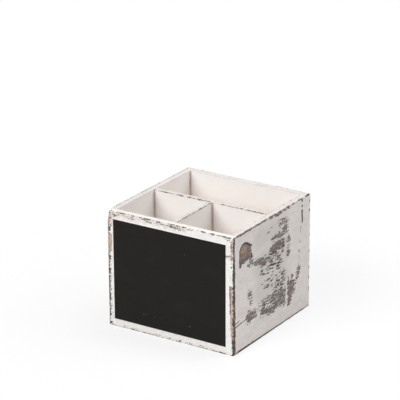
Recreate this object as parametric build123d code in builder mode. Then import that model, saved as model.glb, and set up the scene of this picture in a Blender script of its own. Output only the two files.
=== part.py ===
import os

from build123d import *

# Utensil holder: an open wooden box with two cutlery wells in front and one napkin well behind.
# Sizes are in millimetres. X runs along the front, Y from the front to the back, Z up.
# The origin is on the underside, at the middle of the footprint.

# Outside of the box
holder_width = 127.0
holder_depth = 127.0
holder_height = 106.5

# Boards
wall_thickness = 6.35
base_thickness = 6.0
partition_thickness = 4.8
divider_thickness = 3.2

# Wells: the partition stands behind the cutlery wells, the divider a little right of the middle
cutlery_well_depth = 56.4
divider_shift = 1.2

# Housings: the grooves that hold the partition and the divider
wall_housing_depth = 2.0
partition_housing_depth = 1.6
housing_clearance = 0.1

# Chalkboard, let into the front with a white border round it
border_left = 5.8
border_right = 7.9
border_below = 6.9
border_above = 7.3
chalkboard_thickness = 2.0
chalkboard_setback = 0.2
chalkboard_clearance = 0.15

# Softened edges
arris_radius = 1.0
inner_rim_radius = 0.6

# Brads: flat wire with a small T head, sunk below the face and painted over
brad_head_width = 2.0
brad_head_height = 0.6
brad_shank_width = 1.25
brad_wire_thickness = 1.0
brad_point_length = 1.5
brad_sink = 0.4
corner_brad_length = 18.0
corner_brad_rise = 24.4
corner_brad_drop = 35.5
base_brad_length = 15.0
base_brad_inset = 30.0

# Places that follow from the sizes
outer_x = holder_width / 2
outer_y = holder_depth / 2
inner_x = outer_x - wall_thickness
inner_y = outer_y - wall_thickness
partition_front_y = -inner_y + cutlery_well_depth
partition_middle_y = partition_front_y + partition_thickness / 2
well_height = holder_height - base_thickness
recess_depth = chalkboard_thickness + chalkboard_setback
recess_width = holder_width - border_left - border_right
recess_height = holder_height - border_below - border_above
recess_middle_x = (border_left - border_right) / 2
divider_front_y = -inner_y - wall_housing_depth
divider_back_y = partition_front_y + partition_housing_depth

from_below = (Align.CENTER, Align.MIN)
touch_tolerance = 0.001


def outside_arrises(edges):
    """The edges along which two outside faces of the box meet."""
    arrises = []
    for edge in edges:
        middle = edge @ 0.5
        faces_met = sum((
            abs(abs(middle.X) - outer_x) < touch_tolerance,
            abs(abs(middle.Y) - outer_y) < touch_tolerance,
            abs(middle.Z) < touch_tolerance or abs(middle.Z - holder_height) < touch_tolerance,
        ))
        if faces_met == 2:
            arrises.append(edge)
    return arrises


def make_brad(length):
    """One brad, its head's face at the origin and its point down, and the hole that it fills."""
    half_head = brad_head_width / 2
    half_shank = brad_shank_width / 2
    with BuildPart() as brad:
        with BuildSketch(Plane.XZ):
            with BuildLine():
                Polyline(
                    (0, 0),
                    (half_head, 0),
                    (half_head, -brad_head_height),
                    (half_shank, -brad_head_height),
                    (half_shank, -length + brad_point_length),
                    (0, -length),
                )
                mirror(about=Plane.YZ)
            make_face()
        extrude(amount=brad_wire_thickness / 2, both=True)
    with BuildPart() as hole:
        add(brad.part)
        with BuildSketch(Plane.XY):
            Rectangle(brad_head_width, brad_wire_thickness)
        extrude(amount=brad_sink)
    return brad.part, hole.part


corner_brad, corner_hole = make_brad(corner_brad_length)
base_brad, base_hole = make_brad(base_brad_length)

# Corner brads run through the front and back boards into the ends of the sides
corner_seats = [
    Plane(origin=(x, face * (outer_y - brad_sink), z), z_dir=(0, face, 0)).location
    for face in (-1, 1)
    for x in (-outer_x + wall_thickness / 2, outer_x - wall_thickness / 2)
    for z in (corner_brad_rise, holder_height - corner_brad_drop)
]

# Base brads run through the sides and the back into the edges of the base
side_seats = [
    Plane(origin=(face * (outer_x - brad_sink), y, base_thickness / 2), z_dir=(face, 0, 0)).location
    for face in (-1, 1)
    for y in (-outer_y + base_brad_inset, outer_y - base_brad_inset)
]
back_seats = [
    Plane(origin=(x, outer_y - brad_sink, base_thickness / 2), z_dir=(0, 1, 0)).location
    for x in (-outer_x + base_brad_inset, outer_x - base_brad_inset)
]
base_seats = side_seats + back_seats

# Front board, with the chalkboard's recess outside and the divider's housing inside
with BuildPart() as front_panel:
    with BuildSketch(Plane.XZ.offset(outer_y)):
        Rectangle(holder_width, holder_height, align=from_below)
    extrude(amount=-wall_thickness)
    fillet(outside_arrises(front_panel.edges()), radius=arris_radius)
    with BuildSketch(Plane.XZ.offset(outer_y)):
        with Locations((recess_middle_x, border_below)):
            Rectangle(recess_width, recess_height, align=from_below)
    extrude(amount=-recess_depth, mode=Mode.SUBTRACT)
    with BuildSketch(Plane.XZ.offset(inner_y)):
        with Locations((divider_shift, base_thickness)):
            Rectangle(divider_thickness + 2 * housing_clearance, well_height, align=from_below)
    extrude(amount=wall_housing_depth, mode=Mode.SUBTRACT)
    with Locations(*corner_seats):
        add(corner_hole, mode=Mode.SUBTRACT)

# Back board
with BuildPart() as back_panel:
    with BuildSketch(Plane.XZ.offset(-outer_y)):
        Rectangle(holder_width, holder_height, align=from_below)
    extrude(amount=wall_thickness)
    fillet(outside_arrises(back_panel.edges()), radius=arris_radius)
    with Locations(*corner_seats):
        add(corner_hole, mode=Mode.SUBTRACT)
    with Locations(*base_seats):
        add(base_hole, mode=Mode.SUBTRACT)

# Right side board, between the front and the back, with the partition's housing inside
with BuildPart() as right_side:
    with BuildSketch(Plane.YZ.offset(outer_x)):
        Rectangle(2 * inner_y, holder_height, align=from_below)
    extrude(amount=-wall_thickness)
    fillet(outside_arrises(right_side.edges()), radius=arris_radius)
    with BuildSketch(Plane.YZ.offset(inner_x)):
        with Locations((partition_middle_y, base_thickness)):
            Rectangle(partition_thickness + 2 * housing_clearance, well_height, align=from_below)
    extrude(amount=wall_housing_depth, mode=Mode.SUBTRACT)
    with Locations(*corner_seats):
        add(corner_hole, mode=Mode.SUBTRACT)
    with Locations(*base_seats):
        add(base_hole, mode=Mode.SUBTRACT)

# Left side board, the mirror image of the right one
with BuildPart() as left_side:
    mirror(right_side.part, about=Plane.YZ)

# Base, between the four walls and flush with their lower edges
with BuildPart() as base_panel:
    with BuildSketch(Plane.XY):
        Rectangle(2 * inner_x, 2 * inner_y)
    extrude(amount=base_thickness)
    with Locations(*base_seats):
        add(base_hole, mode=Mode.SUBTRACT)

# Partition between the cutlery wells and the napkin well, its ends let into the sides
with BuildPart() as partition:
    with BuildSketch(Plane.XZ.offset(-partition_front_y)):
        with Locations((0, base_thickness)):
            Rectangle(2 * (inner_x + wall_housing_depth), well_height, align=from_below)
    extrude(amount=-partition_thickness)
    fillet(partition.edges().group_by(Axis.Z)[-1].filter_by(Axis.X), radius=inner_rim_radius)
    with BuildSketch(Plane.XZ.offset(-partition_front_y)):
        with Locations((divider_shift, base_thickness)):
            Rectangle(divider_thickness + 2 * housing_clearance, well_height, align=from_below)
    extrude(amount=-partition_housing_depth, mode=Mode.SUBTRACT)

# Divider between the two cutlery wells, let into the front board and the partition
with BuildPart() as divider:
    with BuildSketch(Plane.YZ.offset(divider_shift)):
        with Locations(((divider_front_y + divider_back_y) / 2, base_thickness)):
            Rectangle(divider_back_y - divider_front_y, well_height, align=from_below)
    extrude(amount=divider_thickness / 2, both=True)
    fillet(divider.edges().group_by(Axis.Z)[-1].filter_by(Axis.Y), radius=inner_rim_radius)

# Chalkboard, seated on the floor of its recess
with BuildPart() as chalkboard:
    with BuildSketch(Plane.XZ.offset(outer_y - recess_depth)):
        with Locations((recess_middle_x, border_below + chalkboard_clearance)):
            Rectangle(
                recess_width - 2 * chalkboard_clearance,
                recess_height - 2 * chalkboard_clearance,
                align=from_below,
            )
    extrude(amount=chalkboard_thickness)

with BuildPart() as corner_brads:
    with Locations(*corner_seats):
        add(corner_brad)

with BuildPart() as base_brads:
    with Locations(*base_seats):
        add(base_brad)

pieces = {
    "front_panel": front_panel,
    "back_panel": back_panel,
    "left_side": left_side,
    "right_side": right_side,
    "base_panel": base_panel,
    "partition": partition,
    "divider": divider,
    "chalkboard": chalkboard,
    "corner_brads": corner_brads,
    "base_brads": base_brads,
}

os.makedirs("parts", exist_ok=True)
for name, piece in pieces.items():
    piece.part.label = name
    export_step(piece.part, f"parts/{name}.step")
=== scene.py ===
import math

import bpy
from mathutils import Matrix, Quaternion, Vector


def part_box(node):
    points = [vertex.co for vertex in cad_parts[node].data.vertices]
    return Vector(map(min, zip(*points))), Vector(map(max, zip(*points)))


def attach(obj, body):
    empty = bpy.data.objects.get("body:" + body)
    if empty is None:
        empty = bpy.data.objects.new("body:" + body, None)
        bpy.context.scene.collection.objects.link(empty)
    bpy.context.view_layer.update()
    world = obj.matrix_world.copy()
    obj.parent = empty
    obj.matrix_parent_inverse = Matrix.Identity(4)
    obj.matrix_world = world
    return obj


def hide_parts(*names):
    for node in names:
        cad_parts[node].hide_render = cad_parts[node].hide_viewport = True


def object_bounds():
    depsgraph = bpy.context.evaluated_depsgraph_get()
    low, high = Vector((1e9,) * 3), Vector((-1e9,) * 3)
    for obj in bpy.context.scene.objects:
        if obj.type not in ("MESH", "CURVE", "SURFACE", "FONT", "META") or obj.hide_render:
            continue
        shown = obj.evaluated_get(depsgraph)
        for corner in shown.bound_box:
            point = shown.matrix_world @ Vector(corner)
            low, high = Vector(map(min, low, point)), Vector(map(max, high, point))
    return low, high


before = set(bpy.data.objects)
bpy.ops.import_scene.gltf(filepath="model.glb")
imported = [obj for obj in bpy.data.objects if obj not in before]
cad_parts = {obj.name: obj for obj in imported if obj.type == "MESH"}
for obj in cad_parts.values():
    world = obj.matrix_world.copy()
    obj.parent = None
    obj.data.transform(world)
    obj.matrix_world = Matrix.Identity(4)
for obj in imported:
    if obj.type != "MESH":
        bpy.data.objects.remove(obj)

cadLow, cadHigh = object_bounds()
print("frame loaded:", len(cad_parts), "nodes")

mm = 0.001
holder = {  # what the boards and the wear share
    "half": (cadHigh - cadLow) / 2,
    "centre": (cadHigh + cadLow) / 2,
    "arris": 1.0,  # mm
    "unevenness": 0.55,
    "wornCorner": (-63.5, -63.5, 106.5),  # mm, the corner that is rounded off most
    "wornCornerRadius": 3.2,  # mm more than elsewhere
    "rimEasing": 0.6,  # mm
    "relief": 0.07,  # mm
}


# Building blocks for node trees

def feed(tree, socket, value):
    if isinstance(value, bpy.types.NodeSocket):
        tree.links.new(value, socket)
    elif value is not None:
        socket.default_value = value


def place(tree, kind, inputs=None, **settings):
    new = tree.nodes.new(kind)
    for name, value in settings.items():
        setattr(new, name, value)
    for name, value in (inputs or {}).items():
        feed(tree, new.inputs[name], value)
    return new


def maths(tree, operation, *values):
    new = place(tree, "ShaderNodeMath", operation=operation)
    for index, value in enumerate(values):
        feed(tree, new.inputs[index], value)
    return new.outputs[0]


def vectors(tree, operation, *values):
    new = place(tree, "ShaderNodeVectorMath", operation=operation)
    slots = (0, 3) if operation == "SCALE" else (0, 1, 2)
    for index, value in zip(slots, values):
        feed(tree, new.inputs[index], value)
    return new.outputs["Value" if operation in ("DOT_PRODUCT", "LENGTH", "DISTANCE") else "Vector"]


def joined(tree, x, y, z):
    return place(tree, "ShaderNodeCombineXYZ", {"X": x, "Y": y, "Z": z}).outputs[0]


def split(tree, vector):
    return place(tree, "ShaderNodeSeparateXYZ", {"Vector": vector}).outputs


def noise(tree, vector, scale=1.0, detail=2.0, roughness=0.5):
    inputs = {"Vector": vector, "Scale": scale, "Detail": detail, "Roughness": roughness}
    return place(tree, "ShaderNodeTexNoise", inputs).outputs[0]


def remap(tree, value, low, high, toLow=0.0, toHigh=1.0, smooth=True):
    inputs = {"Value": value, "From Min": low, "From Max": high, "To Min": toLow, "To Max": toHigh}
    kind = "SMOOTHSTEP" if smooth else "LINEAR"
    return place(tree, "ShaderNodeMapRange", inputs, interpolation_type=kind).outputs[0]


def blendValue(tree, amount, first, second):
    return place(tree, "ShaderNodeMix", {0: amount, 2: first, 3: second}, data_type="FLOAT").outputs[0]


def blendColour(tree, amount, first, second):
    return place(tree, "ShaderNodeMix", {0: amount, 6: first, 7: second}, data_type="RGBA").outputs[2]


def arrange(tree):  # columns from left to right, by how far a node is from the first one
    column = {}
    pending = list(tree.nodes)
    before = {n.name: {link.from_node.name for link in tree.links if link.to_node == n} for n in pending}
    while pending:
        ready = [n for n in pending if before[n.name] <= column.keys()]
        for n in ready:
            column[n.name] = 1 + max([column[name] for name in before[n.name]], default=-1)
        pending = [n for n in pending if n not in ready]
    rows = {}
    for n in tree.nodes:
        row = rows.get(column[n.name], 0)
        n.location = (column[n.name] * 190, row * -170)
        rows[column[n.name]] = row + 1


def newGroup(name, inputs, outputs, kind="ShaderNodeTree"):
    tree = bpy.data.node_groups.new(name, kind)
    for socketName, socketType, value in inputs:
        socket = tree.interface.new_socket(socketName, in_out="INPUT", socket_type="NodeSocket" + socketType)
        if value is not None:
            socket.default_value = value
    for socketName, socketType in outputs:
        tree.interface.new_socket(socketName, in_out="OUTPUT", socket_type="NodeSocket" + socketType)
    return tree, tree.nodes.new("NodeGroupInput").outputs, tree.nodes.new("NodeGroupOutput").inputs


def useGroup(tree, group, inputs):
    return place(tree, "ShaderNodeGroup", inputs, node_tree=group).outputs


def newMaterial(name):
    material = bpy.data.materials.new(name)
    material.use_nodes = True
    material.node_tree.nodes.clear()
    return material, material.node_tree


def placeOnPiece(tree):  # where on the piece a point is, in mm
    return vectors(tree, "SCALE", place(tree, "ShaderNodeTexCoord").outputs["Object"], 1 / mm)


def newObject(name, data):
    made = bpy.data.objects.new(name, data)
    bpy.context.scene.collection.objects.link(made)
    return made


# Shader groups. All lengths are in mm, and the grain runs along X of the vector that they are given

def wornStrokeGroup():  # how far inside a tapered stroke a point is; strokes are chained by So Far
    tree, given, result = newGroup("worn stroke", [
        ("Vector", "Vector", None), ("Start", "Vector", (0, 0, 0)), ("End", "Vector", (1, 0, 0)),
        ("Start Reach", "Float", 1), ("End Reach", "Float", 1), ("Most", "Float", 9), ("So Far", "Float", -9),
    ], [("Field", "Float")])
    toPoint = vectors(tree, "SUBTRACT", given["Vector"], given["Start"])
    run = vectors(tree, "SUBTRACT", given["End"], given["Start"])
    share = maths(tree, "DIVIDE", vectors(tree, "DOT_PRODUCT", toPoint, run),
                  vectors(tree, "DOT_PRODUCT", run, run))
    share = maths(tree, "MINIMUM", maths(tree, "MAXIMUM", share, 0), 1)  # a clamp here uses up Cycles' stack
    away = vectors(tree, "DISTANCE", toPoint, vectors(tree, "SCALE", run, share))
    reach = blendValue(tree, share, given["Start Reach"], given["End Reach"])
    inside = maths(tree, "MINIMUM", maths(tree, "SUBTRACT", reach, away), given["Most"])
    feed(tree, result["Field"], maths(tree, "MAXIMUM", inside, given["So Far"]))
    arrange(tree)
    return tree


def raggedEdgeGroup():  # turns a field into bare wood with torn edges, and a band of thin paint round it
    tree, given, result = newGroup("ragged edge", [
        ("Vector", "Vector", None), ("Field", "Float", 0), ("Streak", "Float", 2),
        ("Streak Length", "Float", 4), ("Streak Width", "Float", 0.6), ("Chip", "Float", 0.6),
        ("Chip Size", "Float", 0.8),
    ], [("Bare", "Float"), ("Thin", "Float"), ("Rim", "Float")])
    width = given["Streak Width"]
    stretched = vectors(tree, "DIVIDE", given["Vector"], joined(tree, given["Streak Length"], width, width))
    streak = maths(tree, "SUBTRACT", noise(tree, stretched, 1, 3, 0.6), 0.5)
    size = given["Chip Size"]
    chipShape = joined(tree, maths(tree, "MULTIPLY", size, 2), size, size)
    small = vectors(tree, "DIVIDE", given["Vector"], chipShape)
    chip = maths(tree, "SUBTRACT", noise(tree, small, 1, 2, 0.6), 0.5)
    torn = maths(tree, "MULTIPLY_ADD", streak, maths(tree, "MULTIPLY", given["Streak"], 4), given["Field"])
    torn = maths(tree, "MULTIPLY_ADD", chip, maths(tree, "MULTIPLY", given["Chip"], 4), torn)
    feed(tree, result["Bare"], remap(tree, torn, -0.12, 0.12))
    feed(tree, result["Thin"], remap(tree, torn, -1.8, 0.3))
    feed(tree, result["Rim"], remap(tree, torn, 1.3, 0.2))
    arrange(tree)
    return tree


def woodGrainGroup():  # weathered wood: bands, fibres and dark pores
    tree, given, result = newGroup("wood grain", [
        ("Vector", "Vector", None), ("Pale", "Color", (0.4, 0.36, 0.33, 1)),
        ("Dark", "Color", (0.16, 0.13, 0.11, 1)), ("Band Width", "Float", 4), ("Fibre Width", "Float", 0.5),
    ], [("Color", "Color"), ("Height", "Float")])
    bandSize = joined(tree, 90, given["Band Width"], given["Band Width"])
    bands = noise(tree, vectors(tree, "DIVIDE", given["Vector"], bandSize), 1, 2, 0.5)
    fibreSize = joined(tree, 9, given["Fibre Width"], given["Fibre Width"])
    fibres = noise(tree, vectors(tree, "DIVIDE", given["Vector"], fibreSize), 1, 3, 0.6)
    pores = remap(tree, noise(tree, vectors(tree, "MULTIPLY", given["Vector"], (0.35, 3.4, 3.4)), 1, 1, 0.5),
                  0.60, 0.70)
    figure = maths(tree, "MULTIPLY_ADD", fibres, 0.6, maths(tree, "MULTIPLY", bands, 0.4))
    tone = remap(tree, figure, 0.34, 0.66)
    tone = maths(tree, "MULTIPLY", tone, maths(tree, "MULTIPLY_ADD", pores, -0.55, 1))
    pits = noise(tree, vectors(tree, "MULTIPLY", given["Vector"], (0.45, 0.75, 0.75)), 1, 2, 0.6)
    tone = maths(tree, "MULTIPLY", tone, remap(tree, pits, 0.66, 0.46, 0.25, 1))
    feed(tree, result["Color"], blendColour(tree, tone, given["Dark"], given["Pale"]))
    feed(tree, result["Height"], tone)
    arrange(tree)
    return tree


def brushedPaintGroup():  # brush ridges along the grain, and patches where the coat is thin
    tree, given, result = newGroup("brushed paint", [
        ("Vector", "Vector", None), ("Paint", "Color", (0.86, 0.84, 0.81, 1)),
        ("Thin Paint", "Color", (0.7, 0.64, 0.58, 1)), ("Mottle", "Float", 0.3), ("Streaks", "Float", 0.2),
        ("Speckle", "Float", 0.3),
    ], [("Color", "Color"), ("Height", "Float")])
    patches = noise(tree, vectors(tree, "MULTIPLY", given["Vector"], (0.045, 0.11, 0.11)), 1, 3, 0.55)
    ridges = noise(tree, vectors(tree, "MULTIPLY", given["Vector"], (0.03, 1.5, 1.5)), 1, 4, 0.6)
    wisps = noise(tree, vectors(tree, "MULTIPLY", given["Vector"], (0.07, 0.55, 0.55)), 1, 3, 0.6)
    mottle = maths(tree, "MULTIPLY", remap(tree, patches, 0.42, 0.68), given["Mottle"])
    streaks = maths(tree, "MULTIPLY", remap(tree, wisps, 0.50, 0.72), given["Streaks"])
    grain = noise(tree, vectors(tree, "MULTIPLY", given["Vector"], (0.3, 0.75, 0.75)), 1, 3, 0.7)
    speckle = maths(tree, "MULTIPLY", remap(tree, grain, 0.44, 0.64), given["Speckle"])
    thin = maths(tree, "MINIMUM", maths(tree, "ADD", maths(tree, "ADD", mottle, streaks), speckle), 1)
    feed(tree, result["Color"], blendColour(tree, thin, given["Paint"], given["Thin Paint"]))
    height = maths(tree, "MULTIPLY_ADD", ridges, 0.6, maths(tree, "MULTIPLY", patches, 0.4))
    feed(tree, result["Height"], height)
    arrange(tree)
    return tree


def flecksGroup():  # scattered small specks, some cells only
    tree, given, result = newGroup("flecks", [
        ("Vector", "Vector", None), ("Spacing", "Float", 9), ("Size", "Float", 0.5), ("Share", "Float", 0.3),
    ], [("Mask", "Float")])
    cells = place(tree, "ShaderNodeTexVoronoi", {
        "Vector": vectors(tree, "DIVIDE", given["Vector"], joined(tree, *[given["Spacing"]] * 3)),
        "Scale": 1, "Randomness": 1,
    })
    away = maths(tree, "MULTIPLY", cells.outputs["Distance"], given["Spacing"])
    uneven = maths(tree, "MULTIPLY_ADD", noise(tree, given["Vector"], 1.7, 2, 0.6), 1.6, -0.8)
    away = maths(tree, "ADD", away, maths(tree, "MULTIPLY", uneven, given["Size"]))
    speck = remap(tree, away, given["Size"], maths(tree, "MULTIPLY", given["Size"], 0.6))
    chosen = maths(tree, "LESS_THAN", split(tree, cells.outputs["Color"])[0], given["Share"])
    feed(tree, result["Mask"], maths(tree, "MULTIPLY", speck, chosen))
    arrange(tree)
    return tree


def dashesGroup():  # short worn dashes that lie along the grain, more of them where Share is near 1
    tree, given, result = newGroup("dashes", [
        ("Vector", "Vector", None), ("Length", "Float", 6), ("Width", "Float", 2), ("Share", "Float", 0.5),
    ], [("Mask", "Float")])
    cell = joined(tree, given["Length"], given["Width"], given["Width"])
    skips = noise(tree, vectors(tree, "DIVIDE", given["Vector"], cell), 1, 1, 0.5)
    level = remap(tree, given["Share"], 0, 1.4, 0.70, 0.49, False)
    skip = remap(tree, maths(tree, "SUBTRACT", skips, level), -0.012, 0.012)
    feed(tree, result["Mask"], maths(tree, "MULTIPLY", skip, remap(tree, given["Share"], 0, 0.1)))
    arrange(tree)
    return tree


wornStroke = wornStrokeGroup()
raggedEdge = raggedEdgeGroup()
woodGrain = woodGrainGroup()
brushedPaint = brushedPaintGroup()
flecks = flecksGroup()
dashes = dashesGroup()
print("shader groups built")


# Wear along the arrises of the whole box, in mm: start, end, reach at each end, most
w, d, h = [2 * v / mm for v in holder["half"]]
left, right, front, back = -w / 2, w / 2, -d / 2, d / 2
arrises = {
    "frontRight": [(right, front + 1.3, 0), (right, front + 0.6, h), 2.0, 1.1, 9],
    "frontLeft": [(left, front, 0), (left, front, h), 1.3, 1.7, 0.5],
    "frontTop": [(left, front, h), (right, front, h), 0.62, 0.5, 0.3],
    "frontBottom": [(left, front, 0), (right, front, 0), 0.75, 0.95, 0.15],
    "rightTop": [(right, front, h), (right, back, h), 1.1, 0.6, 0.45],
    # the right bottom arris: wear, with painted contact shadow along it
    "rightBottom": [(right, front, 0), (right, back, 0), 1.7, 1.3, 1],
    "leftTop": [(left, front, h), (left, back, h), 1.3, 1.0, 1],
    "leftBottom": [(left, front, 0), (left, back, 0), 0.8, 1.0, 1],
    "backRight": [(right, back, 0), (right, back, h), 0.3, 0.3, -0.1],
    "backLeft": [(left, back, 0), (left, back, h), 1.2, 1.5, 1],
    "backTop": [(left, back, h), (right, back, h), 1.0, 0.7, 0.6],
    "backBottom": [(left, back, 0), (right, back, 0), 0.7, 0.9, 0.6],
}

wall = 6.35  # mm
innerWall = 57.15  # the inner faces of the walls
baseTop = 6.0
partitionFaces = (-0.75, 4.05)  # front and back
dividerFaces = (-0.4, 2.8)  # left and right
wellCorners = [(x, y) for y in (-innerWall, *partitionFaces, innerWall) for x in (-innerWall, innerWall)] + [
    (x, y) for y in (-innerWall, partitionFaces[0]) for x in dividerFaces]
# darker, warmer lines up the wells' inner corners: wood showing at the joints, and painted corner shade
cornerJointAndShadeLines = [[(x, y, baseTop), (x, y, h), 1.0, 0.7, 9] for x, y in wellCorners]


def onFace(face, marks):  # marks laid on a face, in mm from its middle or front edge and from the bottom
    depth = {"right": right, "left": left, "front": front, "back": back, "top": h}[face]
    laid = []
    for a, b, c, e, startReach, endReach, most in marks:
        if face in ("right", "left"):
            ends = [(depth, a + front, b), (depth, c + front, e)]
        elif face == "top":
            ends = [(a, b, depth), (c, e, depth)]
        else:
            ends = [(a, depth, b), (c, depth, e)]
        laid.append([*ends, startReach, endReach, most])
    return laid


def strokeField(tree, point, strokes, field=-9.0):
    for start, end, startReach, endReach, most in strokes:
        field = useGroup(tree, wornStroke, {
            "Vector": point, "Start": start, "End": end, "Start Reach": startReach,
            "End Reach": endReach, "Most": most, "So Far": field,
        })["Field"]
    return field


def rgb(*values):
    return (*values, 1.0)


def paintedBoard(name, s):
    material, tree = newMaterial(name)
    where = placeOnPiece(tree)
    x, y, z = split(tree, where)
    turned = {"X": where, "Y": joined(tree, y, x, z), "Z": joined(tree, z, y, x)}[s["grain"]]
    along = vectors(tree, "ADD", turned, s["offset"])

    # where the paint is gone: marks across the face, dashes and chips round them, and the arrises
    field = strokeField(tree, where, s["marks"])
    if s["kept"]:  # strips where the paint stayed on, with clean edges
        kept = maths(tree, "MULTIPLY", strokeField(tree, where, s["kept"]), -3)
        field = maths(tree, "MINIMUM", field, kept)
    marks = useGroup(tree, raggedEdge, {"Vector": along, "Field": field, **s["markEdge"]})
    arris = strokeField(tree, where, [arrises[a] for a in s["arrises"]])
    edges = useGroup(tree, raggedEdge, {
        "Vector": where, "Field": strokeField(tree, where, s["edges"], arris), **s["arrisEdge"]})
    bare = marks["Bare"]
    for zones, shape in ((s["dashZones"], s["dash"]), (s["chipZones"], s["chip"])):
        share = remap(tree, strokeField(tree, where, zones), 0, shape["fade"], 0, shape["most"])
        dash = useGroup(tree, dashes, {
            "Vector": along, "Length": shape["length"], "Width": shape["width"], "Share": share})["Mask"]
        bare = maths(tree, "MAXIMUM", bare, dash)
    specks = useGroup(tree, flecks, {"Vector": along, **s["flecks"]})["Mask"]
    cracked = remap(tree, maths(tree, "MULTIPLY_ADD", noise(tree, where, 0.9, 2, 0.6), 1.6,
                                strokeField(tree, where, s["cracks"])), 0.6, 0.9)
    fromMiddle = maths(tree, "MAXIMUM", maths(tree, "ABSOLUTE", x), maths(tree, "ABSOLUTE", y))
    inside = maths(tree, "MULTIPLY", remap(tree, fromMiddle, innerWall + 0.35, innerWall + 0.1),
                   remap(tree, z, h - 0.2, h - 1.2))
    bare = maths(tree, "MULTIPLY", maths(tree, "MAXIMUM", bare, specks), maths(tree, "SUBTRACT", 1, inside))
    bare = maths(tree, "MAXIMUM", maths(tree, "MAXIMUM", bare, edges["Bare"]), cracked)

    # bare wood: grey in the marks, darker on the arrises, tan where it was sanded last
    grey = useGroup(tree, woodGrain, {"Vector": along, "Pale": s["greyPale"], "Dark": s["greyDark"]})
    tan = useGroup(tree, woodGrain, {"Vector": along, "Pale": s["tanPale"], "Dark": s["tanDark"]})
    fresh = remap(tree, maths(tree, "ADD", strokeField(tree, where, s["tanMarks"]), maths(
        tree, "MULTIPLY_ADD", noise(tree, where, 0.35, 2, 0.5), 6, -3)), -0.8, 0.8)
    wood = blendColour(tree, fresh, grey["Color"], tan["Color"])
    # dark band round the bare patches: dirt, and painted shadow of the paint's edge
    rimDirtAndShadeMask = maths(tree, "MULTIPLY", maths(tree, "MINIMUM", marks["Rim"], edges["Rim"]), s["rimDirtAndShade"])
    wood = blendColour(tree, rimDirtAndShadeMask, wood, s["rimDarkAndShade"])
    blotches = remap(tree, noise(tree, where, 0.22, 3, 0.6), 0.66, 0.44)
    arrisDirt = maths(tree, "MULTIPLY", blotches, s["arrisDirt"])
    worn = maths(tree, "MULTIPLY", remap(tree, arris, -0.6, 0.0), arrisDirt)
    worn = maths(tree, "MULTIPLY", worn, maths(tree, "MULTIPLY_ADD", fresh, -0.8, 1))
    wood = blendColour(tree, maths(tree, "MAXIMUM", worn, cracked), wood, s["arrisDark"])

    # paint: an outer coat, and in the wells a coat made brighter as painted light, turning warmer and darker
    # further down, partly thin paint over the wood and partly painted shade
    outer = useGroup(tree, brushedPaint, {
        "Vector": along, "Paint": s["paint"], "Thin Paint": s["thinPaint"], **s["paintSpread"]})
    inner = useGroup(tree, brushedPaint, {
        "Vector": along, "Paint": s["wellPaintLit"], "Thin Paint": s["wellThinLit"], **s["wellSpread"]})
    outerColour = outer["Color"]
    # painted shade: the front board's ends take the sides' darker paint
    if "shadedEndPaint" in s:
        ends = remap(tree, maths(tree, "ABSOLUTE", x), w / 2 - 1.0, w / 2 - 0.4)
        outerColour = blendColour(tree, ends, outerColour, s["shadedEndPaint"])
    low = remap(tree, maths(tree, "MULTIPLY_ADD", noise(tree, along, 0.06, 3, 0.5), 30, z), *s["wellFade"])
    wisps = noise(tree, vectors(tree, "MULTIPLY", along, (0.03, 0.5, 0.5)), 1, 3, 0.6)
    sparse = remap(tree, wisps, 0.38, 0.62)
    # further down: thin paint over the wood, and painted shade
    deepWoodAndShade = maths(tree, "MULTIPLY", low, maths(tree, "MULTIPLY_ADD", sparse, 0.3, 0.6))
    innerColour = blendColour(tree, deepWoodAndShade, inner["Color"], s["wellWoodAndShade"])
    # painted corner shade, with wood showing at the joints, along the wells' inner corners
    cornerJointAndShade = remap(tree, maths(tree, "MULTIPLY_ADD", noise(tree, along, 0.3, 2, 0.6), 2, strokeField(
        tree, where, cornerJointAndShadeLines)), -0.6, 1.8)
    innerColour = blendColour(tree, maths(tree, "MULTIPLY", cornerJointAndShade, s["cornerJointAndShadeTint"]), innerColour, s["cornerJointAndShade"])
    sanded = maths(tree, "ADD", strokeField(tree, where, s["thinZones"]), maths(
        tree, "MULTIPLY_ADD", noise(tree, along, 0.2, 4, 0.65), 10, -5))
    halo = maths(tree, "MULTIPLY", maths(tree, "MAXIMUM", marks["Thin"], edges["Thin"]), s["thinTint"])
    thin = maths(tree, "MAXIMUM", remap(tree, sanded, *s["thinFade"]), halo)
    outerColour = blendColour(tree, thin, outerColour, s["thinPaint"])
    paint = blendColour(tree, inside, outerColour, innerColour)
    colour = blendColour(tree, bare, paint, wood)

    # the coat stands proud of the bare wood
    ridges = maths(tree, "MULTIPLY", outer["Height"], s["ridgeHeight"])
    coat = maths(tree, "MULTIPLY_ADD", bare, -s["coatHeight"], ridges)
    fibres = maths(tree, "MULTIPLY", grey["Height"], bare)
    height = maths(tree, "MULTIPLY_ADD", fibres, s["fibreHeight"], coat)
    bump = place(tree, "ShaderNodeBump", {"Strength": 0.8, "Distance": mm, "Height": height})
    rough = blendValue(tree, bare, maths(tree, "MULTIPLY_ADD", outer["Height"], 0.25, 0.42), 0.82)
    shader = place(tree, "ShaderNodeBsdfPrincipled", {
        "Base Color": colour, "Roughness": rough, "Normal": bump.outputs[0], "Specular IOR Level": 0.3})
    place(tree, "ShaderNodeOutputMaterial", {"Surface": shader.outputs[0]})
    arrange(tree)
    return material


# The form of every board: a crowded grid, holes for the brads, rounded arrises and a little relief

def middleOf(tree, low, high):
    return vectors(tree, "SCALE", vectors(tree, "ADD", high, low), 0.5)


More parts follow.
